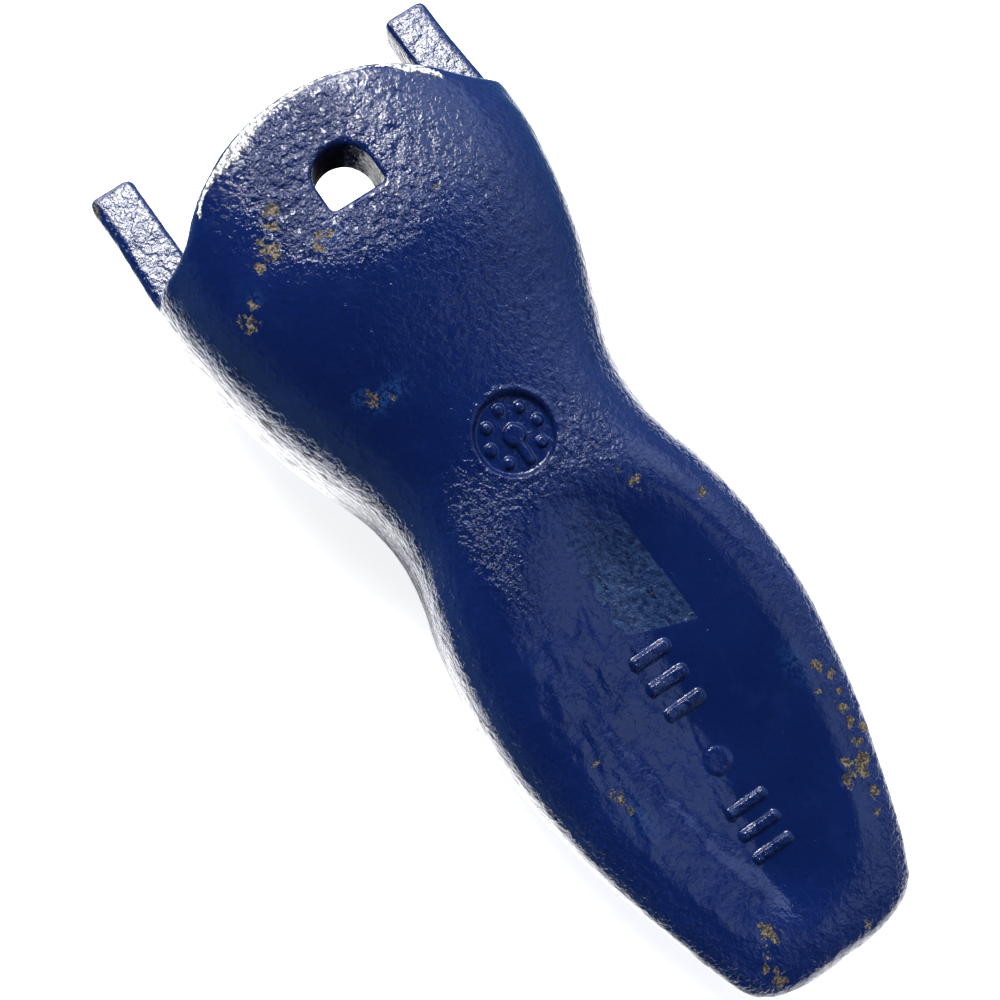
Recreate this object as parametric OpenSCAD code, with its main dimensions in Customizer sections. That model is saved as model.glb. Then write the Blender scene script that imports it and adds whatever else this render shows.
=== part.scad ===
// Bolt-free excavator bucket tooth: one hollow steel casting with a spade blade,
// a top ear, a shorter bottom ear, two rearward side tabs and a D-shaped pin hole,
// and the three-piece lock pin that holds it on its adapter.
// The origin is on the pin hole's axis, level with the flat underside.
// +X runs to the digging edge, +Z is up through the top face.

/* [Casting] */
// Distance from the pin axis to the digging edge
tip_reach = 227; // [210:1:245]
// Half width of the body at the rear
rear_half_w = 53.4; // [51:0.2:56]
// Half width at the waist behind the blade
waist_half_w = 36.6; // [34:0.2:39]
// Half width of the blade at its widest
blade_half_w = 45.8; // [42:0.2:50]
// Height of the rear body over the ears
rear_h = 76; // [74:0.5:80]
// Thickness of the digging edge
edge_t = 14; // [12:0.5:16]
// Depth of the shallow valley along the blade's top
dish_depth = 6.2; // [3:0.2:8]
// Fall of the rear body's top from its centre line to its shoulders
crown = 4.5; // [2:0.5:6]

/* [Ears] */
// Reach of the top ear behind the pin axis
top_ear_reach = 26; // [22:0.5:28]
// Reach of the bottom ear behind the pin axis
bottom_ear_reach = 14; // [12.5:0.5:16]
// Radius of both ears' rear outline
ear_r = 56; // [50:1:60]
// Thickness of the top ear
ear_t = 16; // [14:0.5:18]
// Thickness of the bottom ear and floor
floor_t = 15; // [13:0.5:17]

/* [Pin hole] */
// Radius of the hole's round rear side
pin_hole_r = 8; // [7.6:0.1:9]
// Distance from the pin axis to the hole's flat front side
pin_hole_flat = 7.2; // [7:0.1:8]

/* [Side tabs] */
// Reach of the tabs behind the pin axis
tab_reach = 42; // [34:0.5:46]
// Width of each tab
tab_w = 14; // [10:0.5:15]
// Height of each tab
tab_h = 12; // [10:0.5:14]
// Height of the tabs' underside over the flat underside
tab_z = 33.5; // [30:0.5:36]

/* [Socket] */
// Half width of the socket at its mouth
socket_half_w = 39; // [37:0.5:42]
// Half width of the socket at its front end
socket_front_half_w = 21; // [18:0.5:23]
// Height of the socket at its front end
socket_front_h = 20; // [16:0.5:24]
// Reach of the socket ahead of the pin axis
socket_reach = 110; // [100:1:114]

/* [Foundry marks] */
// Radius of the sunk date disc
disc_r = 10.2; // [9:0.1:11]
// Distance from the pin axis to the date disc
disc_x = 74; // [68:0.5:78]
// Depth of the sunk date disc
disc_depth = 1.6; // [1:0.1:2]
// Width of the raised wear bars
bar_w = 11; // [9:0.5:13]

/* [Lock pin] */
// Length of the lock pin
pin_len = 74; // [70:0.5:78]
// Running clearance of the pin in its hole, on the radius
pin_play = 0.4; // [0.3:0.05:0.6]
// Distance from the pin axis to the stowed pin's rear end
pin_stow_x = 18; // [12:1:22]
// Radius of the lock button
button_r = 4.3; // [3.8:0.1:4.6]
// Height of the lock button above the pin's round back
button_rise = 2; // [1.6:0.1:2.4]

/* [Hidden] */
$fn = 64;

blue = [0.07, 0.13, 0.33];

// ---- smooth interpolation through a table of [x, value] rows ----
function seg(x, T, i = 0) = (i >= len(T) - 2 || x < T[i + 1][0]) ? i : seg(x, T, i + 1);
function slope(T, i) = i == 0 ? (T[1][1] - T[0][1]) / (T[1][0] - T[0][0])
    : i == len(T) - 1 ? (T[i][1] - T[i - 1][1]) / (T[i][0] - T[i - 1][0])
    : (T[i + 1][1] - T[i - 1][1]) / (T[i + 1][0] - T[i - 1][0]);
function smooth_at(x, T) =
    let (i = seg(x, T), h = T[i + 1][0] - T[i][0], t = (x - T[i][0]) / h,
         a = T[i][1], b = T[i + 1][1], m = slope(T, i) * h, n = slope(T, i + 1) * h)
    (2*t*t*t - 3*t*t + 1) * a + (t*t*t - 2*t*t + t) * m + (3*t*t - 2*t*t*t) * b + (t*t*t - t*t) * n;

// ---- profiles along X, all from the driving dimensions ----
rw = rear_half_w;
ww = waist_half_w;
bw = blade_half_w;
L = tip_reach;
plan = [[-30, rw - 1], [-14, rw - 0.3], [0, rw], [13, rw - 1], [26, rw - 3.2], [40, rw - 6.6],
        [54, ww + 5.2], [66, ww + 1.2], [78, ww], [90, ww + 1.6], [102, bw - 4.3], [114, bw - 2.1],
        [126, bw - 0.8], [138, bw - 0.5], [150, bw - 1.3], [162, bw - 3], [174, bw - 5.2], [186, bw - 8.4],
        [198, bw - 12], [L - 19, bw - 15], [L - 12, bw - 17.6], [L - 7, bw - 20.2],
        [L - 3.5, bw - 24.6], [L - 1.2, bw - 31.5], [L, bw - 40]];
top_line = [[-30, rear_h], [12, rear_h], [22, rear_h - 1], [34, rear_h - 4], [48, rear_h - 9],
        [62, rear_h - 13.4], [76, rear_h - 16.8], [90, rear_h - 19.6], [104, rear_h - 23], [118, rear_h - 27.2],
        [132, rear_h - 31.6], [146, rear_h - 36], [160, rear_h - 40.5], [180, rear_h - 46.8], [200, rear_h - 52.8],
        [L - 12, edge_t + 4.4], [L - 6, edge_t + 2], [L - 2.5, edge_t - 0.2], [L - 0.6, edge_t - 3], [L, edge_t - 4.6]];
mid_line = [[-30, 37], [20, 37], [60, 33], [90, 27], [120, 21], [140, 19], [180, 17.5], [200, 16.2], [L - 12, 13],
        [L - 4, 10.6], [L, 9.2]];
bottom_line = [[-30, -1], [140, -1], [170, -0.3], [190, 1.2], [L - 12, 3.8], [L - 6, 4.8], [L - 2.5, 6], [L - 0.6, 7.8], [L, 9]];
top_power = [[-30, 3.7], [20, 3.6], [60, 3], [90, 3.1], [120, 4.2], [140, 4.7], [200, 4.6], [L, 3.8]];
bottom_power = [[-30, 4.5], [60, 4], [90, 3.4], [120, 2.7], [150, 2.3], [L, 2.1]];
crown_line = [[-30, crown * 0.5], [10, crown * 0.6], [30, crown], [64, crown * 0.8], [90, 0.6], [105, 0], [L, 0]];
rim_line = [[-30, 0.3], [84, 0.3], [98, 0.5], [110, 0.64], [134, 0.73], [156, 0.74], [186, 0.69], [L - 20, 0.56], [L - 10, 0.4], [L, 0.4]];
dish_line = [[-30, 0], [88, 0], [96, dish_depth * 0.25], [112, dish_depth * 0.9], [124, dish_depth],
        [180, dish_depth], [L - 26, dish_depth * 0.7], [L - 12, 0], [L, 0]];

function bulge(c, n) = pow(max(0, 1 - pow(min(1, c), n)), 1 / n);
function top_z(x, c) = smooth_at(x, mid_line)
    + (smooth_at(x, top_line) - smooth_at(x, mid_line)) * bulge(c, smooth_at(x, top_power))
    - smooth_at(x, crown_line) * c * c * bulge(c, 3)
    - smooth_at(x, dish_line) * max(0, 1 - c / smooth_at(x, rim_line));
function bottom_z(x, c) = smooth_at(x, mid_line)
    - (smooth_at(x, mid_line) - smooth_at(x, bottom_line)) * bulge(c, smooth_at(x, bottom_power));

cols = 10;
function col(j) = sin(90 * j / cols);
// one closed ring of the loft: over the top from +Y to -Y, back along the underside
function ring(x) = let (w = smooth_at(x, plan)) concat(
    [for (j = [cols:-1:-cols]) [x, w * sign(j) * col(abs(j)), top_z(x, col(abs(j)))]],
    [for (j = [-cols + 1:1:cols - 1]) [x, w * sign(j) * col(abs(j)), bottom_z(x, col(abs(j)))]]);
stations = concat([for (x = [-30, -20, -8, 4]) x], [for (k = [0:28]) 14 + 7 * k],
    [L - 12, L - 7, L - 3.5, L - 1.2, L]);
rings = len(stations);
ring_n = 4 * cols;

module outer_loft() {
    polyhedron(
        points = [for (x = stations) each ring(x)],
        faces = concat(
            [[for (k = [0:ring_n - 1]) k]],
            [for (i = [0:rings - 2]) for (k = [0:ring_n - 1])
                let (a = i * ring_n + k, b = i * ring_n + (k + 1) % ring_n)
                [a, a + ring_n, b + ring_n, b]],
            [[for (k = [ring_n - 1:-1:0]) (rings - 1) * ring_n + k]]),
        convexity = 6);
}

// the D-shaped section of the hole and of the pin: round behind, flat in front
module d_section(r, flat) {
    intersection() {
        circle(r);
        translate([-2 * r, -2 * r]) square([2 * r + flat, 4 * r]);
    }
    translate([0, -r]) square([flat, 2 * r]);
}

// trims everything behind a round rear outline between two heights
module rear_trim(z0, z1, reach) {
    translate([0, 0, z0]) linear_extrude(z1 - z0) difference() {
        translate([-80, -80]) square([80, 160]);
        translate([ear_r - reach, 0]) circle(ear_r, $fn = 128);
        translate([-6, -80]) square([20, 160]);
    }
}

module round_rect_slab(x, half_w, z0, h, r) {
    translate([x, 0, z0]) rotate([90, 0, 90]) linear_extrude(0.5)
        hull() for (y = [-half_w + r, half_w - r], z = [r, h - r]) translate([y, z]) circle(r, $fn = 32);
}

socket_h = rear_h - ear_t - floor_t;
module socket() {
    hull() {
        round_rect_slab(-6.5, socket_half_w, floor_t, socket_h, 8);
        round_rect_slab(socket_reach, socket_front_half_w, floor_t, socket_front_h, 6);
    }
    // open space between the ears, behind the side walls
    translate([-60, -70, floor_t]) cube([54, 140, socket_h]);
}

module tab() {
    translate([-tab_reach, rear_half_w - 0.6 - tab_w, tab_z]) linear_extrude(tab_h) {
        translate([4, 0]) square([tab_reach + 4, tab_w]);
        translate([0, 4]) square([8, tab_w - 8]);
        for (y = [4, tab_w - 4]) translate([4, y]) circle(4);
    }
}

// places its child on the top surface at x, tilted with the slope there
module on_top(x) {
    z0 = top_z(x, 0);
    pitch = atan2(top_z(x - 4, 0) - top_z(x + 4, 0), 8);
    translate([x, 0, z0]) rotate([0, pitch, 0]) children();
}

module date_disc_cut() {
    on_top(disc_x) translate([0, 0, -disc_depth]) cylinder(r = disc_r, h = 8);
}
module date_disc_mark() {
    on_top(disc_x) translate([0, 0, -disc_depth - 0.5]) {
        cylinder(r = 2.6, h = 1.5);
        translate([0, -1, 0]) cube([8, 2, 1.5]);
        for (a = [45:45:315]) rotate(a) translate([7, 0, 0]) cylinder(r = 1.25, h = 1.4);
    }
}
// slope of the valley's two sides at x
function valley_tilt(x) = atan(smooth_at(x, dish_line) / (smooth_at(x, rim_line) * smooth_at(x, plan)));
// a raised bar across the valley, each half lying on its own side of it
module wear_bar(x, t) {
    on_top(x) {
        rotate([valley_tilt(x), 0, 0]) translate([-t / 2, -0.4, -2]) cube([t, bar_w / 2 + 0.4, 3]);
        rotate([-valley_tilt(x), 0, 0]) translate([-t / 2, -bar_w / 2, -2]) cube([t, bar_w / 2 + 0.4, 3]);
    }
}
module wear_bars() {
    for (x = [136, 143.5, 151]) wear_bar(x, 2.8);
    on_top(167) translate([0, 0, -2]) cylinder(r = 3.4, h = 2.9);
    for (x = [180, 186.5, 193]) wear_bar(x, 2.4);
}

module tooth_casting() color(blue) {
    difference() {
        union() {
            difference() {
                outer_loft();
                rear_trim(rear_h - ear_t, 100, top_ear_reach);
                rear_trim(-20, floor_t, bottom_ear_reach);
                translate([-60, -80, -20]) cube([400, 160, 20]);
                socket();
            }
            tab();
            mirror([0, 1, 0]) tab();
            wear_bars();
        }
        translate([0, 0, -5]) linear_extrude(rear_h + 20) d_section(pin_hole_r, pin_hole_flat);
        date_disc_cut();
    }
    date_disc_mark();
}

// ---- lock pin, stowed flat side down on the socket floor ----
pin_r = pin_hole_r - pin_play;
pin_flat = pin_hole_flat - 0.3;
stow_z = floor_t + 0.3 + pin_flat;
button_x = pin_stow_x + pin_len / 2;
pocket_r = button_r + 0.3;
pocket_floor = stow_z - 4.4;
rubber_h = 6;
button_foot = pocket_floor + rubber_h + 0.1;

// a length of the pin's section along X, grown from its rear end
module pin_bar(len, shrink) {
    rotate([0, 90, 0]) linear_extrude(len) intersection() {
        d_section(pin_r - shrink, pin_flat - shrink);
        square([60, 2 * (pin_r - shrink)], center = true);
    }
}

module pin_body() color([0.30, 0.30, 0.31]) {
    difference() {
        union() {
            translate([pin_stow_x + 2, 0, stow_z]) pin_bar(pin_len - 4, 0);
            translate([pin_stow_x, 0, stow_z]) pin_bar(pin_len, 1.4);
            translate([pin_stow_x + 1, 0, stow_z]) pin_bar(pin_len - 2, 0.7);
        }
        translate([button_x, 0, pocket_floor]) cylinder(r = pocket_r, h = 30);
    }
}

module pin_rubber() color([0.05, 0.05, 0.05]) {
    translate([button_x, 0, pocket_floor]) cylinder(r = button_r - 0.1, h = rubber_h);
}

module pin_detent() color([0.55, 0.55, 0.56]) {
    top = stow_z + pin_r + button_rise;
    translate([button_x, 0, button_foot]) rotate_extrude()
        polygon([[0, 0], [button_r, 0], [button_r, top - 1.8 - button_foot],
                 [button_r - 1.4, top - 0.4 - button_foot], [button_r - 2.6, top - button_foot], [0, top - button_foot]]);
}

tooth_casting();
pin_body();
pin_rubber();
pin_detent();
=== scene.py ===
"""Looks for the excavator bucket tooth and its stowed lock pin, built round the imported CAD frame."""
import math

import bmesh
import bpy
import numpy as np
import openvdb
from mathutils import Matrix, Vector


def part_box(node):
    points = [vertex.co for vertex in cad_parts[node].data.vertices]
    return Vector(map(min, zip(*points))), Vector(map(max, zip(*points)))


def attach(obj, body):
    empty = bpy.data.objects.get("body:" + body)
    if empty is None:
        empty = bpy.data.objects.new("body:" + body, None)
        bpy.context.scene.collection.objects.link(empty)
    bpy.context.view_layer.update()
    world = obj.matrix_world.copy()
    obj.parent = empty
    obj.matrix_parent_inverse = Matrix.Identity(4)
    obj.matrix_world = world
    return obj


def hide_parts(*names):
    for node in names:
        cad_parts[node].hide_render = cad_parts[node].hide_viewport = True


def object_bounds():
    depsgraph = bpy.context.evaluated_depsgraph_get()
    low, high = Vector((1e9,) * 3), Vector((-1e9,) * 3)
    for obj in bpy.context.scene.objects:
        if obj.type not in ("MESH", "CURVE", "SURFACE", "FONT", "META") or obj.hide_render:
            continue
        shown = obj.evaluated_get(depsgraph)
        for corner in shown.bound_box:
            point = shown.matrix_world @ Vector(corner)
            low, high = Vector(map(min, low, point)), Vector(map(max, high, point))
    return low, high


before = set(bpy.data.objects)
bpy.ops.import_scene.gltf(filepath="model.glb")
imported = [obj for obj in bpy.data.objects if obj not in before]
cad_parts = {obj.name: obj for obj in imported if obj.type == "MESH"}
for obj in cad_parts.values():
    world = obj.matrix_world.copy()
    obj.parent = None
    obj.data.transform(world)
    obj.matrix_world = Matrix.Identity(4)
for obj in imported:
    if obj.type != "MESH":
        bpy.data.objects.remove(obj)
cad_lo, cad_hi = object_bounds()
MM = 0.001
scene = bpy.context.scene
scene.view_settings.view_transform = "Standard"
scene.view_settings.look = "None"
scene.view_settings.exposure = 0
scene.view_settings.gamma = 1

# ---------------------------------------------------------------- profiles, in mm, as in the CAD source
RW, WW, BW, L, RH, ET, DD, CR = 53.4, 36.6, 45.8, 227.0, 76.0, 14.0, 6.2, 4.5
PLAN = [[-30, RW - 1], [-14, RW - 0.3], [0, RW], [13, RW - 1], [26, RW - 3.2], [40, RW - 6.6],
        [54, WW + 5.2], [66, WW + 1.2], [78, WW], [90, WW + 1.6], [102, BW - 4.3], [114, BW - 2.1],
        [126, BW - 0.8], [138, BW - 0.5], [150, BW - 1.3], [162, BW - 3], [174, BW - 5.2], [186, BW - 8.4],
        [198, BW - 12], [L - 19, BW - 15], [L - 12, BW - 17.6], [L - 7, BW - 20.2],
        [L - 3.5, BW - 24.6], [L - 1.2, BW - 31.5], [L, BW - 40]]
TOP = [[-30, RH], [12, RH], [22, RH - 1], [34, RH - 4], [48, RH - 9], [62, RH - 13.4], [76, RH - 16.8],
       [90, RH - 19.6], [104, RH - 23], [118, RH - 27.2], [132, RH - 31.6], [146, RH - 36],
       [160, RH - 40.5], [180, RH - 46.8], [200, RH - 52.8], [L - 12, ET + 4.4], [L - 6, ET + 2],
       [L - 2.5, ET - 0.2], [L - 0.6, ET - 3], [L, ET - 4.6]]
MID = [[-30, 37], [20, 37], [60, 33], [90, 27], [120, 21], [140, 19], [180, 17.5], [200, 16.2], [L - 12, 13], [L - 4, 10.6], [L, 9.2]]
BOTTOM = [[-30, -1], [140, -1], [170, -0.3], [190, 1.2], [L - 12, 3.8], [L - 6, 4.8], [L - 2.5, 6], [L - 0.6, 7.8], [L, 9]]
TOP_N = [[-30, 3.7], [20, 3.6], [60, 3], [90, 3.1], [120, 4.2], [140, 4.7], [200, 4.6], [L, 3.8]]
BOTTOM_N = [[-30, 4.5], [60, 4], [90, 3.4], [120, 2.7], [150, 2.3], [L, 2.1]]
CROWN = [[-30, CR * 0.5], [10, CR * 0.6], [30, CR], [64, CR * 0.8], [90, 0.6], [105, 0], [L, 0]]
RIM = [[-30, 0.3], [84, 0.3], [98, 0.5], [110, 0.64], [134, 0.73], [156, 0.74], [186, 0.69],
       [L - 20, 0.56], [L - 10, 0.4], [L, 0.4]]
DISH = [[-30, 0], [88, 0], [96, DD * 0.25], [112, DD * 0.9], [124, DD], [180, DD], [L - 26, DD * 0.7], [L - 12, 0], [L, 0]]


def curve(x, rows):
    """Cubic Hermite through rows of (x, value), held flat outside them."""
    t = np.array(rows, float)
    px, py = t[:, 0], t[:, 1]
    s = np.empty(len(px))
    s[0] = (py[1] - py[0]) / (px[1] - px[0])
    s[-1] = (py[-1] - py[-2]) / (px[-1] - px[-2])
    s[1:-1] = (py[2:] - py[:-2]) / (px[2:] - px[:-2])
    i = np.clip(np.searchsorted(px, x, side="right") - 1, 0, len(px) - 2)
    h = px[i + 1] - px[i]
    u = np.clip((x - px[i]) / h, 0, 1)
    u2, u3 = u * u, u * u * u
    return ((2 * u3 - 3 * u2 + 1) * py[i] + (u3 - 2 * u2 + u) * h * s[i]
            + (3 * u2 - 2 * u3) * py[i + 1] + (u3 - u2) * h * s[i + 1])


def step(x, a, b):
    t = np.clip((x - a) / (b - a), 0, 1)
    return t * t * (3 - 2 * t)


def rmax(a, b, r):
    """Intersection with a rounded edge of radius r."""
    return np.minimum(-r, np.maximum(a, b)) + np.hypot(np.maximum(a + r, 0), np.maximum(b + r, 0))


def rmin(a, b, r):
    """Union with a fillet of radius r."""
    return -rmax(-a, -b, r)


# ---------------------------------------------------------------- seeded gradient noise
class Noise:
    def __init__(self, seed):
        rng = np.random.RandomState(seed)
        self.perm = rng.permutation(512).astype(np.int64)
        g = rng.normal(size=(512, 3))
        self.grad = g / np.linalg.norm(g, axis=1)[:, None]

    def __call__(self, p, size):
        """About -1 to 1, with features about size mm apart, at points p (N, 3)."""
        q = p / np.asarray(size, float)
        i = np.floor(q).astype(np.int64)
        f = q - i
        w = f * f * f * (f * (6 * f - 15) + 10)
        out = np.zeros(len(p))
        for c in range(8):
            o = np.array([c & 1, c >> 1 & 1, c >> 2 & 1])
            k = i + o
            h = self.perm[(k[:, 0] + self.perm[(k[:, 1] + self.perm[k[:, 2] & 511]) & 511]) & 511]
            d = (self.grad[h] * (f - o)).sum(1)
            out += d * np.prod(np.where(o, w, 1 - w), axis=1)
        return out * 1.5

    def octaves(self, p, size, n=3, gain=0.5):
        total, amp = 0, 1
        for k in range(n):
            total = total + amp * self(p + 37.1 * k, np.asarray(size, float) / 2 ** k)
            amp *= gain
        return total


# ---------------------------------------------------------------- the casting as a distance field, in mm
DISC_X, DISC_R, DISC_DEPTH = 74.0, 10.2, 1.6


def valley(x):
    """Where the blade's valley line lies across: cast slightly askew."""
    return np.clip(5.5 - 0.09 * (x - 100), -3.5, 5.9) * step(x, 80, 100)


def bar(u, v, hu, hv, soft=0.7):
    """1 on a bar of half sizes hu, hv with rounded ends and sloping sides."""
    r = min(hu, hv) * 0.75
    qx, qy = np.abs(u) - (hu - r), np.abs(v) - (hv - r)
    d = np.hypot(np.maximum(qx, 0), np.maximum(qy, 0)) + np.minimum(np.maximum(qx, qy), 0) - r
    return step(-d, -soft * 0.6, soft * 0.6)


def disc(u, v, r, soft=0.7):
    return step(r - np.hypot(u, v), -soft * 0.6, soft * 0.6)


def relief(x, y):
    """Height added to the top face: date disc, raised bars, boss."""
    h = 0
    u, v = x - DISC_X, y
    rad = np.hypot(u, v)
    floor = step(DISC_R - rad, -0.55, 0.75)
    # the recess floor is flat across, while the face around it is bowed
    h = h - DISC_DEPTH * floor
    dial = disc(u, v, 2.7) * 1.3
    dial = np.maximum(dial, bar(u - 4.0, v, 4.1, 1.1, 0.7) * 1.15)
    for k in range(1, 8):
        a = math.pi / 4 * k
        dial = np.maximum(dial, disc(u - 7 * math.cos(a), v - 7 * math.sin(a), 1.35, 0.7) * 1.0)
    h = h + dial
    # a low worn lip round the recess
    h = h + 0.28 * np.exp(-((rad - DISC_R - 0.9) / 0.8) ** 2)
    for i, c in enumerate((136.0, 143.5, 151.0)):
        h = h + 1.15 * bar(x - c, y - 0.3 * (i - 1), 1.45, 5.5, 1.0)
    h = h + 0.55 * disc(x - 167, y, 3.4, 1.2)
    for i, c in enumerate((180.0, 186.5, 193.0)):
        h = h + 1.0 * bar(x - c, y + 0.3 * (i - 1), 1.25, 5.5, 1.0)
    return h


def patch_mask(x, y):
    """The ground and touched-up patch ahead of the date disc."""
    lo = -3.9 + 0.02 * (x - 107) + 0.9 * np.sin(x * 0.9)
    hi = 11.3 + 0.10 * (x - 97)
    end = 129.3 + 0.40 * (y + 1)
    start = 91.5 + 0.5 * (y + 1)
    return (step(y, lo - 0.4, lo + 0.5) * step(-y, -hi - 0.4, -hi + 0.5)
            * step(x, start - 0.5, start + 0.6) * step(-x, -end - 0.5, -end + 0.6))


def top_shift(x, y, w):
    c = np.abs(y) / w
    cc = np.minimum(c, 1)
    crown = curve(x, CROWN) * cc * cc * np.cbrt(np.maximum(0, 1 - cc ** 3))
    rim, v0 = curve(x, RIM) * w, valley(x)
    u = np.where(y > v0, (y - v0) / np.maximum(rim - v0, 4), (v0 - y) / np.maximum(rim + v0, 4))
    s = 1 - (np.sqrt(u * u + 0.1 ** 2) - 0.1) / 0.905  # a rounded V
    s = 0.5 * (s + np.sqrt(s * s + 0.11 ** 2))  # easing out at the rims
    dish = curve(x, DISH) * s
    # a low step along the left half, 13 mm in from the rim
    t = y + rim - 13.5
    dish = dish + 0.7 * np.tanh(t / 3.0) * np.exp(-(t / 9.0) ** 2) * step(x, 116, 136) * step(-x, -208, -192)
    # flat pin boss standing just clear of the crown
    r = np.hypot(x, y)
    boss = (0.55 * crown) * step(21 - r, -1.8, 1.8)
    # the ear's top rolls off towards its rear outline
    t = np.clip((np.hypot(x - 30, y) - 51.0) / 5.0, 0, 1.3) * step(-x, -12, 0)
    return -crown - dish + boss + relief(x, y) - 0.22 * patch_mask(x, y) - 0.5 * t * t


def outer(x, y, z):
    w, zt, zm, zb = curve(x, PLAN), curve(x, TOP), curve(x, MID), curve(x, BOTTOM)
    n1, n2 = curve(x, TOP_N), curve(x, BOTTOM_N)
    c = np.abs(y) / w
    up = z > zm
    zz = np.where(up, np.maximum(z - top_shift(x, y, w) - zm, 0) / (zt - zm), (zm - z) / (zm - zb))
    n = np.where(up, n1, n2)
    return (c ** n + zz ** n) ** (1 / n) - 1


def socket(x, y, z):
    t = np.clip((x + 6) / 116, 0, 1)
    hw, hz, r = 39 - 18 * t, (45 - 25 * t) / 2, 8 - 2 * t
    qy, qz = np.abs(y) - (hw - r), np.abs(z - 15 - hz) - (hz - r)
    d = np.hypot(np.maximum(qy, 0), np.maximum(qz, 0)) + np.minimum(np.maximum(qy, qz), 0) - r
    return rmax(d * 0.98, x - 110.5, 7)


def pin_hole(x, y, z):
    r = 7.75 + 0.012 * (76 - z)
    flat = r - 0.8
    front = rmax(np.abs(y) - r, x - flat, 1.3)
    return np.where(x < 0, np.hypot(x, y) - r, front)


def box(x, y, z, c, h, r):
    q = [np.abs(v - a) - (b - r) for v, a, b in zip((x, y, z), c, h)]
    out = np.sqrt(sum(np.maximum(v, 0) ** 2 for v in q))
    return out + np.minimum(np.maximum(np.maximum(q[0], q[1]), q[2]), 0) - r


def shape(x, y, z, body):
    """The whole casting from the outer body's distance."""
    keep = -6 - x + 0 * z + 0 * y
    top_ear = rmax(np.hypot(x - 30, y) - 56 + 0 * z, 60 - z, 2.0)
    low_ear = rmax(np.hypot(x - 42, y) - 56 + 0 * z, z - 15, 2.0)
    keep = rmin(rmin(keep, top_ear, 4), low_ear, 4)
    ay = np.abs(y)
    # side tabs, whose tops fall slightly to the rear, as drawn from the mould
    tz = z + 0.044 * np.maximum(-6 - x, 0) * step(z, 37, 43)
    qx, qy = np.abs(x + 17) - (25 - 3), np.abs(ay - 48.8) - (10 - 3)
    plan = np.hypot(np.maximum(qx, 0), np.maximum(qy, 0)) + np.minimum(np.maximum(qx, qy), 0) - 3
    tab = rmax(plan, np.abs(tz - 39.5) - 6, 1.8)
    keep = rmin(keep, tab, 3.6)
    d = rmax(body, keep, 2.2)
    d = rmax(d, -z + 0 * x + 0 * y, 1.6)
    d = rmax(d, x - L + 0 * z + 0 * y, 1.2)
    d = rmax(d, -socket(x, y, z), 2.0)
    return rmax(d, -pin_hole(x, y, z), 1.0)


def at_points(p, e=0.2):
    """(distance, unit gradient) of the casting at points p (N, 3)."""
    def whole(q):
        x, y, z = q[:, 0], q[:, 1], q[:, 2]
        f = outer(x, y, z)
        g = np.zeros_like(q)
        for k in range(3):
            a, b = q.copy(), q.copy()
            a[:, k] += e
            b[:, k] -= e
            g[:, k] = (outer(*a.T) - outer(*b.T)) / (2 * e)
        return shape(x, y, z, f / np.maximum(np.linalg.norm(g, axis=1), 0.004))
    d = whole(p)
    g = np.zeros_like(p)
    for k in range(3):
        a, b = p.copy(), p.copy()
        a[:, k] += e
        b[:, k] -= e
        g[:, k] = (whole(a) - whole(b)) / (2 * e)
    n = np.maximum(np.linalg.norm(g, axis=1), 0.05)[:, None]
    return d / n[:, 0], g / n


def project(p, times=2):
    for _ in range(times):
        d, n = at_points(p)
        p = p - np.clip(d, -0.6, 0.6)[:, None] * n
    return p, n


def casting_mesh():
    vox = 1.6
    x = np.arange(-45, 230, vox)[:, None, None]
    y = np.arange(-57.5, 58, vox)[None, :, None]
    z = np.arange(-3.3, 80, vox)[None, None, :]
    f = outer(x, y, z)
    g = np.gradient(f, vox)
    d = shape(x, y, z, f / np.maximum(np.sqrt(g[0] ** 2 + g[1] ** 2 + g[2] ** 2), 0.004))
    grid = openvdb.FloatGrid()
    grid.background = 3.0
    grid.copyFromArray(np.clip(d / vox, -3, 3).astype(np.float32))
    pts, quads = grid.convertToQuads(0.0)
    pts = np.asarray(pts, float) * vox + np.array([x.min(), y.min(), z.min()])
    quads = np.asarray(quads)
    a, b, c = pts[quads[:, 0]], pts[quads[:, 1]], pts[quads[:, 2]]
    e = pts[quads[:, 3]]
    vol = (np.cross(a, b) * c).sum() + (np.cross(a, c) * e).sum()
    if vol < 0:
        quads = quads[:, ::-1]
    mesh = bpy.data.meshes.new("tooth_casting_skin")
    mesh.from_pydata(pts.tolist(), [], quads.tolist())
    bm = bmesh.new()
    bm.from_mesh(mesh)
    # finer faces on the outside, finer again at the foundry marks
    def refine(test):
        faces = [f for f in bm.faces if test(f.calc_center_median())]
        edges = {e for f in faces for e in f.edges}
        bmesh.ops.subdivide_edges(bm, edges=list(edges), cuts=1, use_grid_fill=True)
        co = np.array([v.co for v in bm.verts])
        return co
    def outside(c):
        if c.z < 1.0:
            return False
        t = min(max((c.x + 6) / 116, 0), 1)
        hw, top = 39 - 18 * t, 60 - 25 * t
        inside = abs(c.y) < hw + 0.9 and 14.1 < c.z < top + 0.9 and c.x < 111.4
        return not inside and not (c.z < 15.5 and c.x < 3 and abs(c.y) < 42)
    def marks(c):
        if c.z < 18:
            return False
        return (math.hypot(c.x - DISC_X, c.y) < DISC_R + 2.6 and c.z > 50) or (
            132.5 < c.x < 196 and abs(c.y) < 7.4)
    refine(outside)
    bm.verts.index_update()
    co, _ = project(np.array([v.co for v in bm.verts]), 2)
    for v, q in zip(bm.verts, co):
        v.co = q
    refine(marks)
    co, _ = project(np.array([v.co for v in bm.verts]), 3)
    for v, q in zip(bm.verts, co):
        v.co = q
    bm.to_mesh(mesh)
    bm.free()
    return mesh


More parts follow.
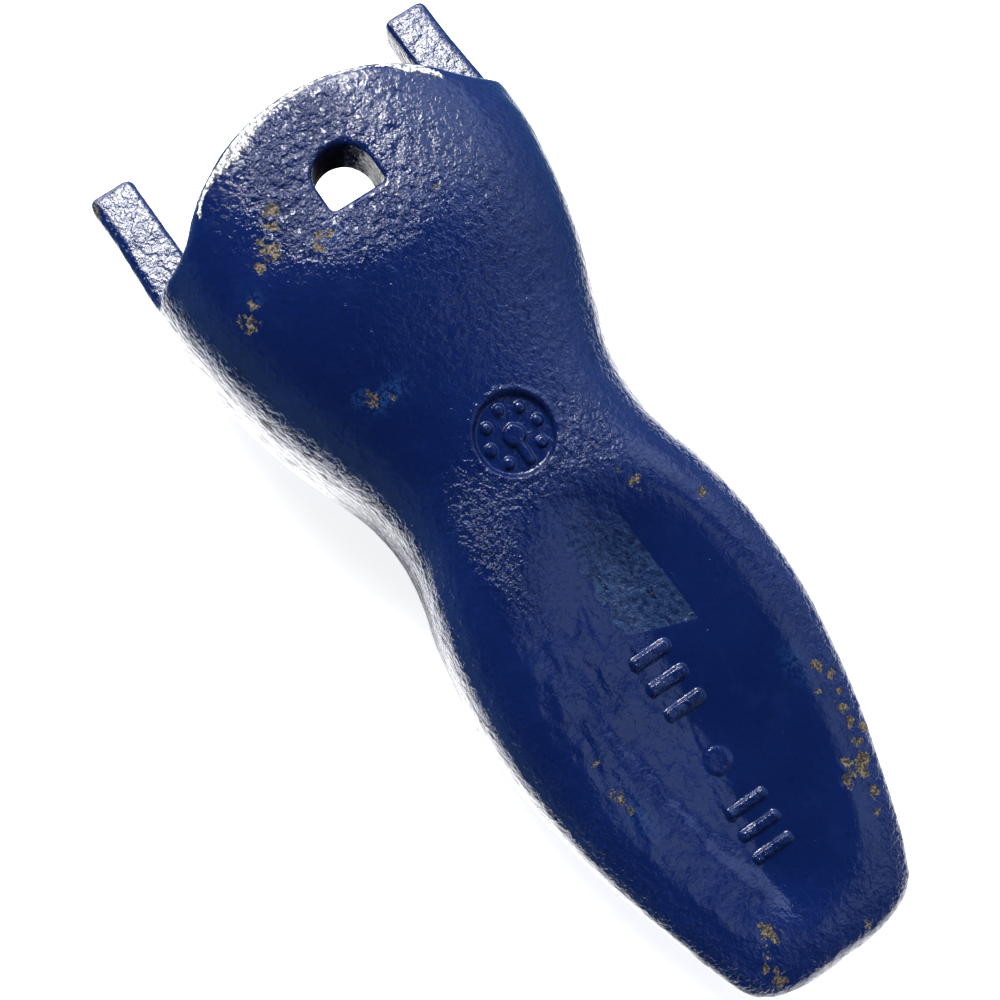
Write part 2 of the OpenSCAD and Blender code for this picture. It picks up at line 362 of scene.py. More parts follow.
# chips through the paint: x, y, radius, strength, brown share; z is on the top face
CHIPS = [
    (-2, -20, 3.2, 0.95, 0.3), (1.5, -22, 2.4, 0.9, 0.3), (7, -26, 4.2, 1.0, 0.45), (8.5, -29.5, 3.0, 0.95, 0.5),
    (10.5, -13, 3.0, 0.85, 0.5), (3.0, -26, 2.0, 0.9, 0.3), (12.5, -16, 2.0, 0.75, 0.5),
    (17.4, -39.6, 3.6, 0.9, 0.2), (14.5, -36.0, 2.0, 0.8, 0.2), (48.3, -24.6, 3.2, 0.75, 0.7), (50.4, -20.0, 2.2, 0.7, 0.4),
    (99.6, 19.5, 3.0, 0.8, 0.6), (95.0, 16.6, 1.8, 0.7, 0.6), (110.6, 33, 2.2, 0.9, 0.7), (162, 34, 3.0, 0.9, 0.7),
    (166, 36.5, 2.4, 0.9, 0.8), (170.5, 36.0, 2.2, 0.9, 0.7), (174, 34.4, 3.0, 0.95, 0.8), (178.5, 33.5, 2.4, 0.9, 0.8),
    (184, 32.5, 2.6, 0.95, 0.7), (189, 30.5, 4.0, 1.0, 0.6), (190, 24.8, 3.0, 0.9, 0.6), (186.5, 27.5, 2.6, 0.9, 0.6),
    (209.6, -14, 4.0, 1.0, 0.95), (213.5, -16.5, 2.6, 0.8, 0.8), (220.4, -17.9, 3.2, 0.9, 0.7), (223, 10, 2.6, 0.8, 0.6),
    (159.8, -27.9, 3.6, 0.8, 0.5), (164.6, -26.0, 2.4, 0.7, 0.4), (14.8, 16.8, 1.8, 0.75, 0.3),
    (168, 31.2, 2.0, 0.85, 0.7), (181, 36.5, 2.2, 0.9, 0.8), (196, 29.5, 2.4, 0.9, 0.7), (201, 27.0, 2.0, 0.85, 0.7),
    (216, -19.8, 2.2, 0.85, 0.8), (150.5, -27.5, 1.8, 0.6, 0.5), (34, 25, 1.2, 0.6, 0.4), (57, 20, 1.2, 0.6, 0.5),
]
SIDE_CHIPS = [(35, -47.7, 48, 3.0, 0.9), (52, -41.5, 40, 2.4, 0.8), (104, -42, 26, 2.6, 0.8), (120, 44.5, 24, 3.0, 0.85),
              (8, 53, 30, 3.2, 0.9), (150, 45, 16, 3.0, 0.9), (182, -39.5, 12, 3.4, 0.95), (205, 33, 9, 3.2, 0.95),
              (205, -33, 10, 3.0, 0.95), (140, -45.2, 14, 2.6, 0.9), (70, 37.5, 30, 2.2, 0.8), (-38, 52.5, 40, 3.0, 0.9),
              (-39, -52.5, 42, 3.0, 0.9)]


def dress(mesh):
    """Cast ripples in the shape itself, and the masks that the paint reads."""
    n = len(mesh.vertices)
    co = np.empty(n * 3, np.float32)
    mesh.vertices.foreach_get("co", co)
    co = co.reshape(-1, 3).astype(float)
    _, nrm = at_points(co)
    x, y, z = co.T
    up = np.clip(nrm[:, 2], 0, 1)
    w = curve(x, PLAN)
    rad_hole = np.hypot(x, y)
    rad_disc = np.hypot(x - DISC_X, y)
    top = step(up, 0.55, 0.8) * (z > curve(x, MID) + 0.3)
    side = step(1 - np.abs(nrm[:, 2]), 0.35, 0.7)
    # roughness of the skin: strongest on the pin boss, round the date disc and on the walls
    def blob(cx, cy, sx, sy, power=2):
        return np.exp(-(np.abs((x - cx) / sx) ** power + np.abs((y - cy) / sy) ** power))
    rough = 0.10 + 0 * x
    zone = blob(-12, -14, 13, 10) + 0.8 * blob(-16, 2, 8, 8) + 0.75 * blob(14, 0, 7, 11) + 0.7 * blob(4, -19, 9, 8)
    rough += (0.10 + 0.78 * np.minimum(zone, 1)) * top * step(23.5 - rad_hole, -2.5, 2.0)
    rough += 0.55 * top * (blob(86, -18, 13, 8) + blob(100, -21, 14, 4.5) + blob(84, 16, 9, 8) + blob(87, 0, 7, 13) * 0.8)
    rough += 0.10 * top * blob(40, 12, 40, 40) + 0.18 * top * blob(62, 20, 20, 12)
    rough += 0.18 * top * blob(20, 30, 24, 10)
    rough += 0.42 * side
    rough += 0.06 * top * step(x, 200, 214)
    rough += 0.25 * top * step(np.abs(y) / w, 0.74, 0.86)
    inside_rim = step(-(np.abs(y) / w), -0.80, -0.62)
    dish_r = top * step(x, 98, 116) * step(y - valley(x), -0.5, 2.5) * inside_rim * step(-x, -208, -194)
    dish_l = top * step(x, 100, 122) * step(-(y - valley(x)), -0.5, 2.5) * inside_rim * step(-x, -212, -196)
    rough *= 1 - 0.55 * dish_r
    in_disc = step(DISC_R - rad_disc, -0.2, 0.6) * top
    rough = rough * (1 - in_disc) + 0.16 * in_disc
    patch = patch_mask(x, y) * top
    tab_top = step(-x, 6, 10) * (z < 47) * (z > 32) * (np.abs(y) > 38) * step(up, 0.7, 0.95)
    rough = rough * (1 - tab_top) + 0.15 * tab_top
    rough += 0.30 * patch * step(x, 96, 104)
    rough += 0.30 * np.clip(relief(x, y), 0, 1) * top * (1 - in_disc)
    rough = np.clip(rough, 0.05, 1.1)

    a, b, c = Noise(11), Noise(23), Noise(41)
    amp = 0.11 * rough + 0.012
    swell = 0.26 * a(co, 26.0)
    lumps = a.octaves(co + 5, 6.5, 2) * (0.10 * rough + 0.02)
    grain = b.octaves(co, 3.0, 2, 0.6) * amp * 0.8
    # hammered ripples on the blade's left half, drawn out along it
    ripple = c.octaves(co + 9, (15.0, 5.2, 9.0), 2, 0.45) * 0.34 * dish_l
    ripple += b.octaves(co + 31, (7.5, 2.8, 5.0), 2, 0.5) * 0.21 * dish_l
    dents = -0.55 * np.clip(c(co + 60, 17.0) - 0.42, 0, 1) * side
    move = swell * 0.5 + lumps + grain + ripple + dents
    fine = step(np.minimum(np.abs(rad_disc - DISC_R), 9), 0.6, 2.2)
    marks = np.clip(relief(x, y), -0.2, 1) * top
    move = move * (1 - 0.55 * np.clip(marks, 0, 1)) * (0.6 + 0.4 * fine)
    inner = (socket(x, y, z) < 1.2) & (x > -8)
    move[inner] *= 0.6

    chip = np.zeros(n)
    brown = np.zeros(n)
    for cx, cy, r, s, br in CHIPS:
        m = s * np.exp(-(np.hypot(x - cx, y - cy) / r) ** 2 * 1.1) * (z > curve(x, MID))
        brown += m * br
        chip = np.maximum(chip, m)
    for cx, cy, cz, r, s in SIDE_CHIPS:
        m = s * np.exp(-(((x - cx) ** 2 + (y - cy) ** 2 + (z - cz) ** 2) / r ** 2) * 1.1)
        chip = np.maximum(chip, m)
        brown += m * 0.6
    brown = brown / np.maximum(chip, 0.05)
    # edges that touch the ground lose paint first
    tip = step(x, 212, 225.5)
    edge = tip * (0.46 + 0.30 * b(co, 7.0)) * step(-z, -13, -6)
    edge = np.maximum(edge, 0.42 * np.exp(-(z / 2.2) ** 2) * side + 0)
    right_rim = np.exp(-((np.abs(y) / w - 0.84) / 0.09) ** 2) * step(x, 150, 165) * step(-x, -210, -196) * top
    edge = np.maximum(edge, (0.44 * (y > 0) + 0.20 * (y < 0)) * right_rim * (0.75 + 0.5 * b(co + 3, 9.0)))
    rear_edge = np.exp(-((np.hypot(x - 30, y) - 56) / 2.2) ** 2) * (z > 58) * (x < -3)
    edge = np.maximum(edge, (0.34 + 0.2 * b(co + 7, 8.0)) * rear_edge)
    chip = np.clip(np.maximum(chip, edge), 0, 1)
    under = step(-nrm[:, 2], 0.6, 0.95) * step(-z, -3, -0.5)
    chip = np.maximum(chip, 0.40 * under)

    # rubbed, thin and pale paint: ear rim, tabs, lower walls; on the ear rim and tab tops the pale colour is partly a
    # painted highlight
    edge_r = np.hypot(x - 30, y)
    wide = 0.35 + 1.0 * blob(-22, -18, 9, 9) + 1.0 * blob(-15, 36, 12, 9) + 0.5 * blob(-8, -42, 9, 8) + 0.25 * c(co + 21, 9.0)
    # the ear rim's near-white band: partly rubbed paint, partly a painted highlight
    rim_rub_and_glint = (step(edge_r, 55.2 - 5.2 * np.clip(wide, 0.1, 1.1), 55.2 - 0.9 * np.clip(wide, 0.1, 1.1))
           * step(-edge_r, -55.5, -54.8) * (z > 72.5) * step(-x, -4, 2))
    wear = 0 * x
    # pale flecks on the tab tops: partly wear, partly painted highlight glints
    wear = np.maximum(wear, 0.40 * tab_top)
    wear = np.maximum(wear, 0.24 * tip)
    # blue-light scrape beside the rear-left chip
    scrape = (0.9 * np.exp(-((x - 49.5) / 2.6) ** 2 - ((y + 21) / 5.5) ** 2) + 0.6 * np.exp(-((x - 46) / 2) ** 2 - ((y + 27) / 2.5) ** 2)
              + 0.7 * np.exp(-((x - 12) / 3) ** 2 - ((y + 12) / 3) ** 2) + 0.6 * np.exp(-((x - 14) / 2) ** 2 - ((y + 35) / 2) ** 2)
              + 0.5 * np.exp(-((x - 158) / 5) ** 2 - ((y - 29) / 3) ** 2) + 0.45 * np.exp(-((x - 168) / 8) ** 2 - ((y + 25) / 3) ** 2))
    scrape = scrape * top
    gone = chip > 0.62
    move = move - 0.14 * gone

    co2 = co + nrm * move[:, None]
    for k in range(3):
        co2[:, k] = np.clip(co2[:, k], cad_lo[k] / MM + 0.01, cad_hi[k] / MM - 0.01)
    mesh.vertices.foreach_set("co", (co2 * MM).astype(np.float32).ravel())
    mesh.update()
    # painted shade inside the socket mouth and the pin bore, over dark bare metal; the bore's +y side, which catches
    # the light, is left lighter
    inner_shade = ((socket(x, y, z) < 1.6) & (x > -8)).astype(float) * step(x, -6, 30)
    bore = (rad_hole < 9.0) * step(-z, -75.2, -73.8) * (1 - 0.75 * step(y, 2, 6))
    inner_shade = np.maximum(inner_shade, 1.7 * bore)
    # painted shade: darker towards the bottom of the walls, where the contact shadow falls
    low_edge_shade = step(-z / curve(x, MID), -0.62, -0.30) * step(1 - np.abs(nrm[:, 2]), 0.1, 0.5) * (x > -5)
    for name, values in (("chip", chip), ("brown", np.clip(brown, 0, 1)), ("rough", rough), ("wear", np.clip(wear, 0, 1)),
                         ("patch", patch), ("scrape", np.clip(scrape, 0, 1)), ("inner_shade", inner_shade), ("rim_rub_and_glint", np.clip(rim_rub_and_glint, 0, 1)), ("side", side), ("low_edge_shade", low_edge_shade)):
        at = mesh.attributes.new(name, "FLOAT", "POINT")
        at.data.foreach_set("value", values.astype(np.float32))
    for p in mesh.polygons:
        p.use_smooth = True


# ---------------------------------------------------------------- materials
class Mat:
    """Short helpers for building one node material."""

    def __init__(self, name):
        self.m = bpy.data.materials.new(name)
        self.m.use_nodes = True
        self.t = self.m.node_tree
        self.t.nodes.clear()
        self.out = self.t.nodes.new("ShaderNodeOutputMaterial")
        self.p = self.t.nodes.new("ShaderNodeBsdfPrincipled")
        self.t.links.new(self.p.outputs[0], self.out.inputs[0])
        self.co = self.t.nodes.new("ShaderNodeTexCoord").outputs["Object"]

    def link(self, a, b):
        self.t.links.new(a, b)

    def put(self, socket, value):
        if isinstance(value, bpy.types.NodeSocket):
            self.link(value, socket)
        elif value is not None:
            socket.default_value = value

    def noise(self, scale, detail=2.0, rough=0.5, dist=0.0, vec=None, lac=2.0):
        n = self.t.nodes.new("ShaderNodeTexNoise")
        n.inputs["Scale"].default_value = scale
        n.inputs["Detail"].default_value = detail
        n.inputs["Roughness"].default_value = rough
        n.inputs["Distortion"].default_value = dist
        n.inputs["Lacunarity"].default_value = lac
        self.link(vec or self.co, n.inputs["Vector"])
        return n.outputs["Fac"]

    def voronoi(self, scale, feature="F1", smooth=0.4, vec=None, rand=1.0):
        n = self.t.nodes.new("ShaderNodeTexVoronoi")
        n.feature = feature
        n.inputs["Scale"].default_value = scale
        n.inputs["Randomness"].default_value = rand
        if feature == "SMOOTH_F1":
            n.inputs["Smoothness"].default_value = smooth
        self.link(vec or self.co, n.inputs["Vector"])
        return n.outputs["Distance"]

    def stretch(self, x, y, z):
        n = self.t.nodes.new("ShaderNodeMapping")
        n.inputs["Scale"].default_value = (x, y, z)
        self.link(self.co, n.inputs["Vector"])
        return n.outputs[0]

    def attr(self, name):
        n = self.t.nodes.new("ShaderNodeAttribute")
        n.attribute_name = name
        return n.outputs["Fac"]

    def math(self, op, a, b=None, c=None, clamp=False):
        n = self.t.nodes.new("ShaderNodeMath")
        n.operation = op
        n.use_clamp = clamp
        self.put(n.inputs[0], a)
        self.put(n.inputs[1], b)
        self.put(n.inputs[2], c)
        return n.outputs[0]

    def span(self, v, a, b, lo=0.0, hi=1.0, smooth=True):
        n = self.t.nodes.new("ShaderNodeMapRange")
        n.interpolation_type = "SMOOTHSTEP" if smooth else "LINEAR"
        self.put(n.inputs["Value"], v)
        for k, q in (("From Min", a), ("From Max", b), ("To Min", lo), ("To Max", hi)):
            n.inputs[k].default_value = q
        return n.outputs[0]

    def mix(self, fac, a, b):
        n = self.t.nodes.new("ShaderNodeMix")
        n.data_type = "RGBA"
        self.put(n.inputs[0], fac)
        for s, v in ((n.inputs[6], a), (n.inputs[7], b)):
            self.put(s, (*v, 1) if isinstance(v, tuple) else v)
        return n.outputs[2]

    def mixf(self, fac, a, b):
        n = self.t.nodes.new("ShaderNodeMix")
        n.data_type = "FLOAT"
        self.put(n.inputs[0], fac)
        self.put(n.inputs[2], a)
        self.put(n.inputs[3], b)
        return n.outputs[0]

    def bump(self, height, strength, distance, normal=None):
        n = self.t.nodes.new("ShaderNodeBump")
        self.put(n.inputs["Strength"], strength)
        n.inputs["Distance"].default_value = distance
        self.link(height, n.inputs["Height"])
        if normal is not None:
            self.link(normal, n.inputs["Normal"])
        return n.outputs[0]

    def done(self, colour, rough, normal, metallic=None):
        self.put(self.p.inputs["Base Color"], colour)
        self.put(self.p.inputs["Roughness"], rough)
        self.link(normal, self.p.inputs["Normal"])
        self.put(self.p.inputs["Metallic"], metallic)
        return self.m


def paint():
    k = Mat("blue_paint_over_casting")
    chip, brown, wear, rough = k.attr("chip"), k.attr("brown"), k.attr("wear"), k.attr("rough")
    patch, scrape, inner_shade = k.attr("patch"), k.attr("scrape"), k.attr("inner_shade")
    rim_rub_and_glint, side, low_edge_shade = k.attr("rim_rub_and_glint"), k.attr("side"), k.attr("low_edge_shade")
    big, mid, fine = k.noise(38, 2), k.noise(170, 3, 0.55), k.noise(620, 3, 0.6)
    grit = k.noise(1500, 2, 0.6)
    cells = k.voronoi(430, "SMOOTH_F1", 0.5)
    # paint colour: deep blue, thinner and lighter on high spots, darker in pits
    blue = k.mix(k.span(big, 0.3, 0.7), (0.0027, 0.0112, 0.074), (0.0038, 0.0142, 0.088))
    blue = k.mix(k.math("MULTIPLY", k.span(mid, 0.50, 0.78), 0.22), blue, (0.008, 0.026, 0.125))
    pits = k.math("MULTIPLY", k.span(fine, 0.42, 0.30), 0.55)
    blue = k.mix(pits, blue, (0.0022, 0.008, 0.045))
    patch_blue = k.mix(k.span(k.noise(620, 5, 0.75), 0.40, 0.60), (0.004, 0.016, 0.068), (0.024, 0.056, 0.140))
    patch_blue = k.mix(k.span(k.noise(420, 2, 0.5, vec=k.stretch(1, 1.6, 1)), 0.62, 0.67), patch_blue, (0.002, 0.006, 0.030))
    px = k.t.nodes.new("ShaderNodeSeparateXYZ")
    k.link(k.co, px.inputs[0])
    ramp = k.span(px.outputs[0], 0.090, 0.120, 0.10, 0.82)
    p_mask = k.span(k.math("ADD", patch, k.math("MULTIPLY", k.math("SUBTRACT", k.noise(240, 3, 0.6), 0.5), 0.9)), 0.40, 0.56)
    p_mask = k.math("MULTIPLY", p_mask, k.span(patch, 0.02, 0.2))
    blue = k.mix(k.math("MULTIPLY", p_mask, ramp), blue, patch_blue)
    scr = k.math("MULTIPLY", scrape, k.span(k.noise(900, 2, 0.7), 0.46, 0.54))
    blue = k.mix(k.math("MULTIPLY", scr, 0.8), blue, (0.020, 0.070, 0.210))
    # rubbed places: pale flecks where the paint is polished through on the grain's tops, partly painted highlight
    # glints on the tab tops
    flecks = k.noise(1050, 3, 0.65)
    glint_wear_mask = k.math("MULTIPLY", k.span(k.math("ADD", flecks, k.math("MULTIPLY", wear, 0.22)), 0.66, 0.70), k.span(wear, 0.1, 0.4))
    blue = k.mix(glint_wear_mask, blue, (0.16, 0.20, 0.30))
    # walls: small dull specks, and painted shade darkening the bottom edge where the contact shadow falls
    dull_specks_and_edge_shade = k.span(k.noise(330, 3, 0.6, vec=k.stretch(0.5, 1, 1.3)), 0.57, 0.61)
    dull_specks_and_edge_shade = k.math("MULTIPLY", dull_specks_and_edge_shade, side)
    dull_specks_and_edge_shade = k.math("MAXIMUM", dull_specks_and_edge_shade, k.math("MULTIPLY", k.span(k.math("ADD", low_edge_shade, k.math("MULTIPLY", k.noise(190, 4, 0.65, vec=k.stretch(0.6, 1, 1.6)), 1.2)), 0.90, 1.12), k.span(low_edge_shade, 0.02, 0.3)))
    blue = k.mix(k.math("MULTIPLY", dull_specks_and_edge_shade, 0.8), blue, (0.0030, 0.0065, 0.024))
    # ear rim: rubbed pale, the near-white partly a painted highlight, with a brown fringe
    r_ragged = k.math("ADD", rim_rub_and_glint, k.math("MULTIPLY", k.math("SUBTRACT", k.noise(300, 5, 0.72), 0.5), 2.2))
    r_fringe = k.math("MULTIPLY", k.span(r_ragged, 0.46, 0.52), k.span(rim_rub_and_glint, 0.03, 0.12))
    rim_glint_mask = k.math("MULTIPLY", k.span(r_ragged, 0.60, 0.66), k.span(rim_rub_and_glint, 0.05, 0.2))
    r_grain = k.span(k.noise(900, 4, 0.7), 0.44, 0.52)
    # chips: torn outline from two sizes of noise
    torn = k.math("ADD", k.math("MULTIPLY", k.math("SUBTRACT", k.noise(360, 5, 0.68), 0.5), 2.6), chip)
    c_mask = k.math("MULTIPLY", k.span(torn, 0.66, 0.72), k.span(chip, 0.16, 0.3))
    tiny = k.span(k.noise(1500, 3, 0.65), 0.43, 0.60)
    rust = k.mix(tiny, (0.040, 0.030, 0.020), (0.25, 0.160, 0.080))
    steel = k.mix(tiny, (0.026, 0.025, 0.023), (0.31, 0.255, 0.180))
    bare = k.mix(k.math("MULTIPLY", brown, k.span(mid, 0.35, 0.6)), steel, rust)
    colour = k.mix(c_mask, blue, bare)
    colour = k.mix(k.math("MULTIPLY", r_fringe, 0.8), colour, k.mix(tiny, (0.030, 0.027, 0.022), (0.17, 0.14, 0.10)))
    colour = k.mix(rim_glint_mask, colour, k.mix(r_grain, (0.06, 0.07, 0.10), (0.74, 0.73, 0.71)))
    # inside the socket and the bore: dark bare metal and painted shade
    dark_in = k.mix(k.span(k.noise(90, 4, 0.6), 0.35, 0.65), (0.006, 0.010, 0.022), (0.040, 0.030, 0.022))
    colour = k.mix(k.math("MULTIPLY", inner_shade, k.span(big, 0.25, 0.75, 0.25, 0.85)), colour, dark_in)
    # gloss
    gloss = k.span(mid, 0.3, 0.7, 0.09, 0.17)
    gloss = k.mixf(k.math("MULTIPLY", p_mask, ramp), gloss, 0.40)
    gloss = k.mixf(c_mask, gloss, 0.72)
    gloss = k.mixf(k.math("MULTIPLY", inner_shade, 0.8), gloss, 0.7)
    gloss = k.mixf(rim_glint_mask, gloss, 0.35)
    k.put(k.p.inputs["Specular IOR Level"], k.mixf(dull_specks_and_edge_shade, k.mixf(k.math("MULTIPLY", inner_shade, 0.8), 0.5, 0.12), 0.05))
    # skin: rounded sand grain under the paint, orange peel, sharp chip edges
    grain = k.math("ADD", k.math("MULTIPLY", k.span(k.noise(640, 3, 0.6), 0.38, 0.62), 0.52), k.math("MULTIPLY", grit, 0.20))
    grain = k.math("ADD", grain, k.math("MULTIPLY", cells, -0.55))
    grain = k.math("ADD", grain, k.math("MULTIPLY", k.span(k.noise(330, 2, 0.5), 0.36, 0.64), 0.42))
    specks = k.math("MULTIPLY", k.span(k.noise(700, 2, 0.5), 0.70, 0.78), 0.10)
    height = k.math("ADD", k.math("MULTIPLY", grain, rough), specks)
    n1 = k.bump(height, 0.8, 0.0009)
    step_h = k.math("ADD", k.math("MULTIPLY", c_mask, -1.0), k.math("MULTIPLY", k.math("MULTIPLY", c_mask, grit), 0.8))
    n2 = k.bump(step_h, 0.9, 0.00035, n1)
    k.p.inputs["IOR"].default_value = 1.5
    k.p.inputs["Coat Weight"].default_value = 0.0
    return k.done(colour, gloss, n2, k.math("MULTIPLY", c_mask, 0.35))


def forged():
    k = Mat("forged_dark_steel")
    a, b = k.noise(120, 4, 0.6), k.noise(900, 3, 0.6)
    draw = k.noise(260, 3, 0.6, vec=k.stretch(0.06, 1, 1))
    c = k.mix(k.span(a, 0.35, 0.65), (0.050, 0.047, 0.044), (0.120, 0.112, 0.104))
    c = k.mix(k.math("MULTIPLY", k.span(draw, 0.52, 0.66), 0.6), c, (0.27, 0.26, 0.25))
    c = k.mix(k.math("MULTIPLY", k.span(k.noise(60, 5, 0.65), 0.60, 0.72), 0.55), c, (0.14, 0.062, 0.028))
    n = k.bump(k.math("ADD", k.math("MULTIPLY", b, 0.5), draw), 0.5, 0.0003)
    return k.done(c, k.span(a, 0.3, 0.7, 0.34, 0.52), n, 0.85)


def rubber():
    k = Mat("black_elastomer")
    a = k.noise(1400, 3, 0.6)
    c = k.mix(k.span(k.noise(200, 3), 0.4, 0.65), (0.012, 0.012, 0.013), (0.030, 0.029, 0.028))
    return k.done(c, k.span(a, 0.3, 0.7, 0.62, 0.82), k.bump(a, 0.4, 0.0001), 0.0)


def turned(centre):
    k = Mat("turned_steel")
    mapping = k.t.nodes.new("ShaderNodeMapping")
    mapping.inputs["Location"].default_value = (-centre[0], -centre[1], -centre[2])
    k.link(k.co, mapping.inputs["Vector"])
    sep = k.t.nodes.new("ShaderNodeSeparateXYZ")
    k.link(mapping.outputs[0], sep.inputs[0])
    r = k.math("SQRT", k.math("ADD", k.math("POWER", sep.outputs[0], 2.0), k.math("POWER", sep.outputs[1], 2.0)))
    rings = k.math("SINE", k.math("MULTIPLY", k.math("ADD", r, k.math("MULTIPLY", sep.outputs[2], 0.8)), 21000.0))
    a = k.noise(300, 3)
    c = k.mix(k.span(a, 0.35, 0.65), (0.30, 0.30, 0.305), (0.52, 0.52, 0.53))
    return k.done(c, k.span(a, 0.3, 0.7, 0.18, 0.32), k.bump(rings, 0.35, 0.00004), 1.0)


# ---------------------------------------------------------------- pieces
def add(name, mesh, body, node, material):
    o = bpy.data.objects.new(name, mesh)
    scene.collection.objects.link(o)
    mesh.materials.append(material)
    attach(o, body)
    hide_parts(node)
    return o


skin = casting_mesh()
dress(skin)
add("tooth_casting_skin", skin, "tooth", "tooth_casting", paint())

lathe_x = sum(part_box("pin_detent")[i][0] for i in (0, 1)) / 2
lathe_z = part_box("pin_detent")[1][2]
for node, mat in (("pin_body", forged()), ("pin_rubber", rubber()), ("pin_detent", turned((lathe_x, 0, lathe_z)))):
    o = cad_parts[node]
    o.data.materials.clear()
    o.data.materials.append(mat)
    bevel = o.modifiers.new("edge_round", "BEVEL")
    bevel.width = 0.0003
    bevel.segments = 2
    bevel.limit_method = "ANGLE"
    bevel.angle_limit = math.radians(28)
    bevel.harden_normals = False

# ---------------------------------------------------------------- stage
def sheet(name, z, radius=6.0):
    bm = bmesh.new()
    bmesh.ops.create_circle(bm, cap_ends=True, segments=96, radius=radius)
    mesh = bpy.data.meshes.new(name)
    bm.to_mesh(mesh)
    bm.free()
    o = bpy.data.objects.new(name, mesh)
    o.location = (0.0925, 0, z)
    scene.collection.objects.link(o)
    m = bpy.data.materials.new(name)
    m.use_nodes = True
    mesh.materials.append(m)
    return o, m.node_tree, m.node_tree.nodes["Principled BSDF"]


def clear_from_below(t, p):
    """The sheet shows from above only, so low views can look through it."""
    back = t.nodes.new("ShaderNodeNewGeometry")
    clear = t.nodes.new("ShaderNodeBsdfTransparent")
    mix = t.nodes.new("ShaderNodeMixShader")
    t.links.new(back.outputs["Backfacing"], mix.inputs[0])
    t.links.new(p.outputs[0], mix.inputs[1])
    t.links.new(clear.outputs[0], mix.inputs[2])
    t.links.new(mix.outputs[0], t.nodes["Material Output"].inputs[0])


def floor():
    """A pale floor, and the bright sweep close round the part that only its gloss sees."""
    o, t, p = sheet("studio_floor", -0.00005)
    p.inputs["Base Color"].default_value = (0.95, 0.91, 0.84, 1)
    p.inputs["Roughness"].default_value = 0.9
    p.inputs["Specular IOR Level"].default_value = 0.1
    p.inputs["Emission Color"].default_value = (1, 1, 1, 1)
    p.inputs["Emission Strength"].default_value = 0.85
    clear_from_below(t, p)
    o.visible_glossy = False
    o, t, p = sheet("floor_sweep", -0.0001)
    p.inputs["Base Color"].default_value = (0, 0, 0, 1)
    p.inputs["Roughness"].default_value = 1.0
    p.inputs["Specular IOR Level"].default_value = 0.0
    p.inputs["Emission Color"].default_value = (1, 1, 1, 1)
    co = t.nodes.new("ShaderNodeTexCoord")
    squash = t.nodes.new("ShaderNodeVectorMath")
    squash.operation = "MULTIPLY"
    squash.inputs[1].default_value = (1 / 0.140, 1 / 0.054, 0)
    t.links.new(co.outputs["Object"], squash.inputs[0])
    far = t.nodes.new("ShaderNodeVectorMath")
    far.operation = "LENGTH"
    t.links.new(squash.outputs[0], far.inputs[0])
    fade = t.nodes.new("ShaderNodeMapRange")
    fade.interpolation_type = "SMOOTHSTEP"
    for name, v in (("From Min", 1.35), ("From Max", 2.2), ("To Min", 3.3), ("To Max", 0.22)):
        fade.inputs[name].default_value = v
    t.links.new(far.outputs["Value"], fade.inputs["Value"])
    under = t.nodes.new("ShaderNodeMapRange")
    under.interpolation_type = "SMOOTHSTEP"
    for name, v in (("From Min", 0.72), ("From Max", 0.92)):
        under.inputs[name].default_value = v
    t.links.new(far.outputs["Value"], under.inputs["Value"])
    lit = t.nodes.new("ShaderNodeMath")
    lit.operation = "MULTIPLY"
    t.links.new(fade.outputs[0], lit.inputs[0])
    t.links.new(under.outputs[0], lit.inputs[1])
    t.links.new(lit.outputs[0], p.inputs["Emission Strength"])
    tint = t.nodes.new("ShaderNodeMix")
    tint.data_type = "RGBA"
    tint.inputs[6].default_value = (0.45, 0.95, 1.5, 1)
    tint.inputs[7].default_value = (1, 1, 1, 1)
    near = t.nodes.new("ShaderNodeMapRange")
    for name, v in (("From Min", 0.3), ("From Max", 1.6)):
        near.inputs[name].default_value = v
    t.links.new(fade.outputs[0], near.inputs["Value"])
    t.links.new(near.outputs[0], tint.inputs[0])
    t.links.new(tint.outputs[2], p.inputs["Emission Color"])
    clear_from_below(t, p)
    o.visible_camera = o.visible_diffuse = o.visible_shadow = o.visible_transmission = False


def backdrop():
    """A pale dome far off, which only fills the background of low views."""
    bm = bmesh.new()
    bmesh.ops.create_uvsphere(bm, u_segments=64, v_segments=32, radius=5.8)
    mesh = bpy.data.meshes.new("studio_wall")
    bm.to_mesh(mesh)
    bm.free()
    o = bpy.data.objects.new("studio_wall", mesh)
    o.location = (0.1, 0, 0)
    scene.collection.objects.link(o)
    m = bpy.data.materials.new("pale_wall")
    m.use_nodes = True
    p = m.node_tree.nodes["Principled BSDF"]
    p.inputs["Base Color"].default_value = (0.9, 0.9, 0.9, 1)
    p.inputs["Roughness"].default_value = 1.0
    p.inputs["Emission Color"].default_value = (1, 1, 1, 1)
    p.inputs["Emission Strength"].default_value = 0.8
    mesh.materials.append(m)
    o.visible_glossy = o.visible_diffuse = o.visible_shadow = o.visible_transmission = False


floor()
backdrop()


def lamp(name, direction, distance, degrees, radiance, target):
    """A round softbox seen under the given half angle."""
    r = distance * math.tan(math.radians(degrees))
    light = bpy.data.lights.new(name, "AREA")
    light.shape = "DISK"
    light.size = 2 * r
    light.energy = radiance * math.pi * math.pi * r * r
    o = bpy.data.objects.new(name, light)
    d = Vector(direction).normalized()
    o.location = Vector(target) + d * distance
    o.rotation_mode = "QUATERNION"
    o.rotation_quaternion = d.to_track_quat("Z", "Y")
    scene.collection.objects.link(o)


lamp("key_softbox", (-0.545, 0.19, 0.815), 2.5, 9.5, 29, (-0.01, 0, 0.07))

